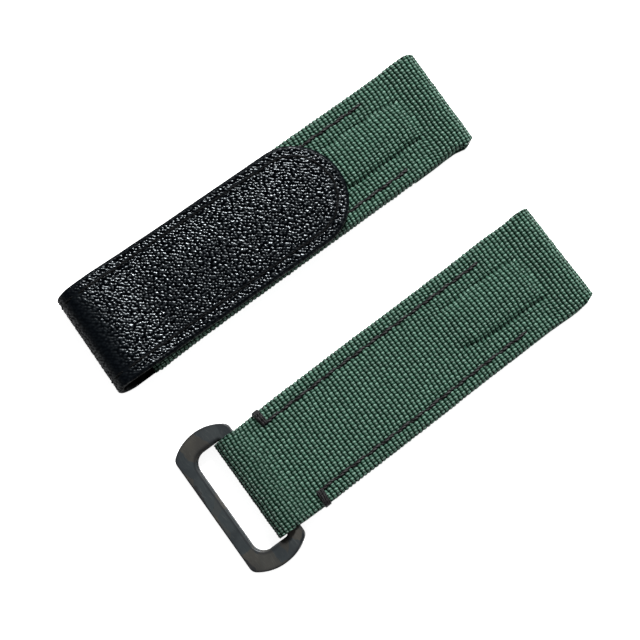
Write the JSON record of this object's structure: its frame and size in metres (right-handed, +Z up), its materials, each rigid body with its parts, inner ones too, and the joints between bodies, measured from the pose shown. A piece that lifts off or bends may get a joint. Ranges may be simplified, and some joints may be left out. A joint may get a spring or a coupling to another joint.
{
  "type": "hook and loop watch strap",
  "caption": "Watch strap in two halves: a short half with a hinged ring buckle, and a long half whose leather tail folds back on hook and loop tape.",
  "frame": {"origin": "middle of the footprint of both halves, on the table they lie on", "axes": "+X along the short half towards its lug end, +Y from the short half to the long half, +Z up"},
  "size_m": [0.0776, 0.06, 0.0067],
  "materials": {
    "green_nylon": "coarse ballistic nylon weave, semi-matt beads",
    "black_leather": "pebbled grain, satin",
    "black_thread": "waxed twisted thread",
    "carbon_composite": "marbled chopped carbon, ground flat and satin",
    "liner_plastic": "smooth",
    "stiffener_board": "pressed fibre",
    "pad_foam": "soft foam",
    "loop_pile": "brushed loops",
    "hook_nylon": "moulded hooks"
  },
  "bodies": {
    "long_half": {"long_nylon_cover": "green_nylon", "long_lining": "black_leather", "long_stiffener": "stiffener_board", "long_pad": "pad_foam", "long_tunnel_liner": "liner_plastic", "loop_tape": "loop_pile", "long_far_seam": "black_thread", "long_near_seam": "black_thread", "leather_bend": "black_leather"},
    "flap": {"leather_flap": "black_leather", "hook_tape": "hook_nylon", "flap_seam": "black_thread"},
    "short_half": {"short_nylon_cover": "green_nylon", "short_lining": "black_leather", "short_stiffener": "stiffener_board", "short_pad": "pad_foam", "short_tunnel_liner": "liner_plastic", "short_far_seam": "black_thread", "short_near_seam": "black_thread", "short_far_bar_tack": "black_thread", "short_near_bar_tack": "black_thread"},
    "ring": {"ring_buckle": "carbon_composite"}
  },
  "joints": [
    {"name": "flap_fold", "type": "hinge", "parent": "long_half", "child": "flap", "pos_m": [-0.03492, 0.02013, 0.0031], "axis": [-0.0248, -0.9997, 0], "range_deg": [0, 175], "deforming": ["leather_bend"]},
    {"name": "ring_turn", "type": "hinge", "parent": "short_half", "child": "ring", "pos_m": [-0.0284, -0.01648, 0.00221], "axis": [0.0279, 0.9996, 0], "range_deg": [-140, 165]},
    {"name": "short_half_lift", "type": "slide", "parent": "long_half", "child": "short_half", "axis": [0, 0, 1], "range_m": [0, 0.06]}
  ]
}
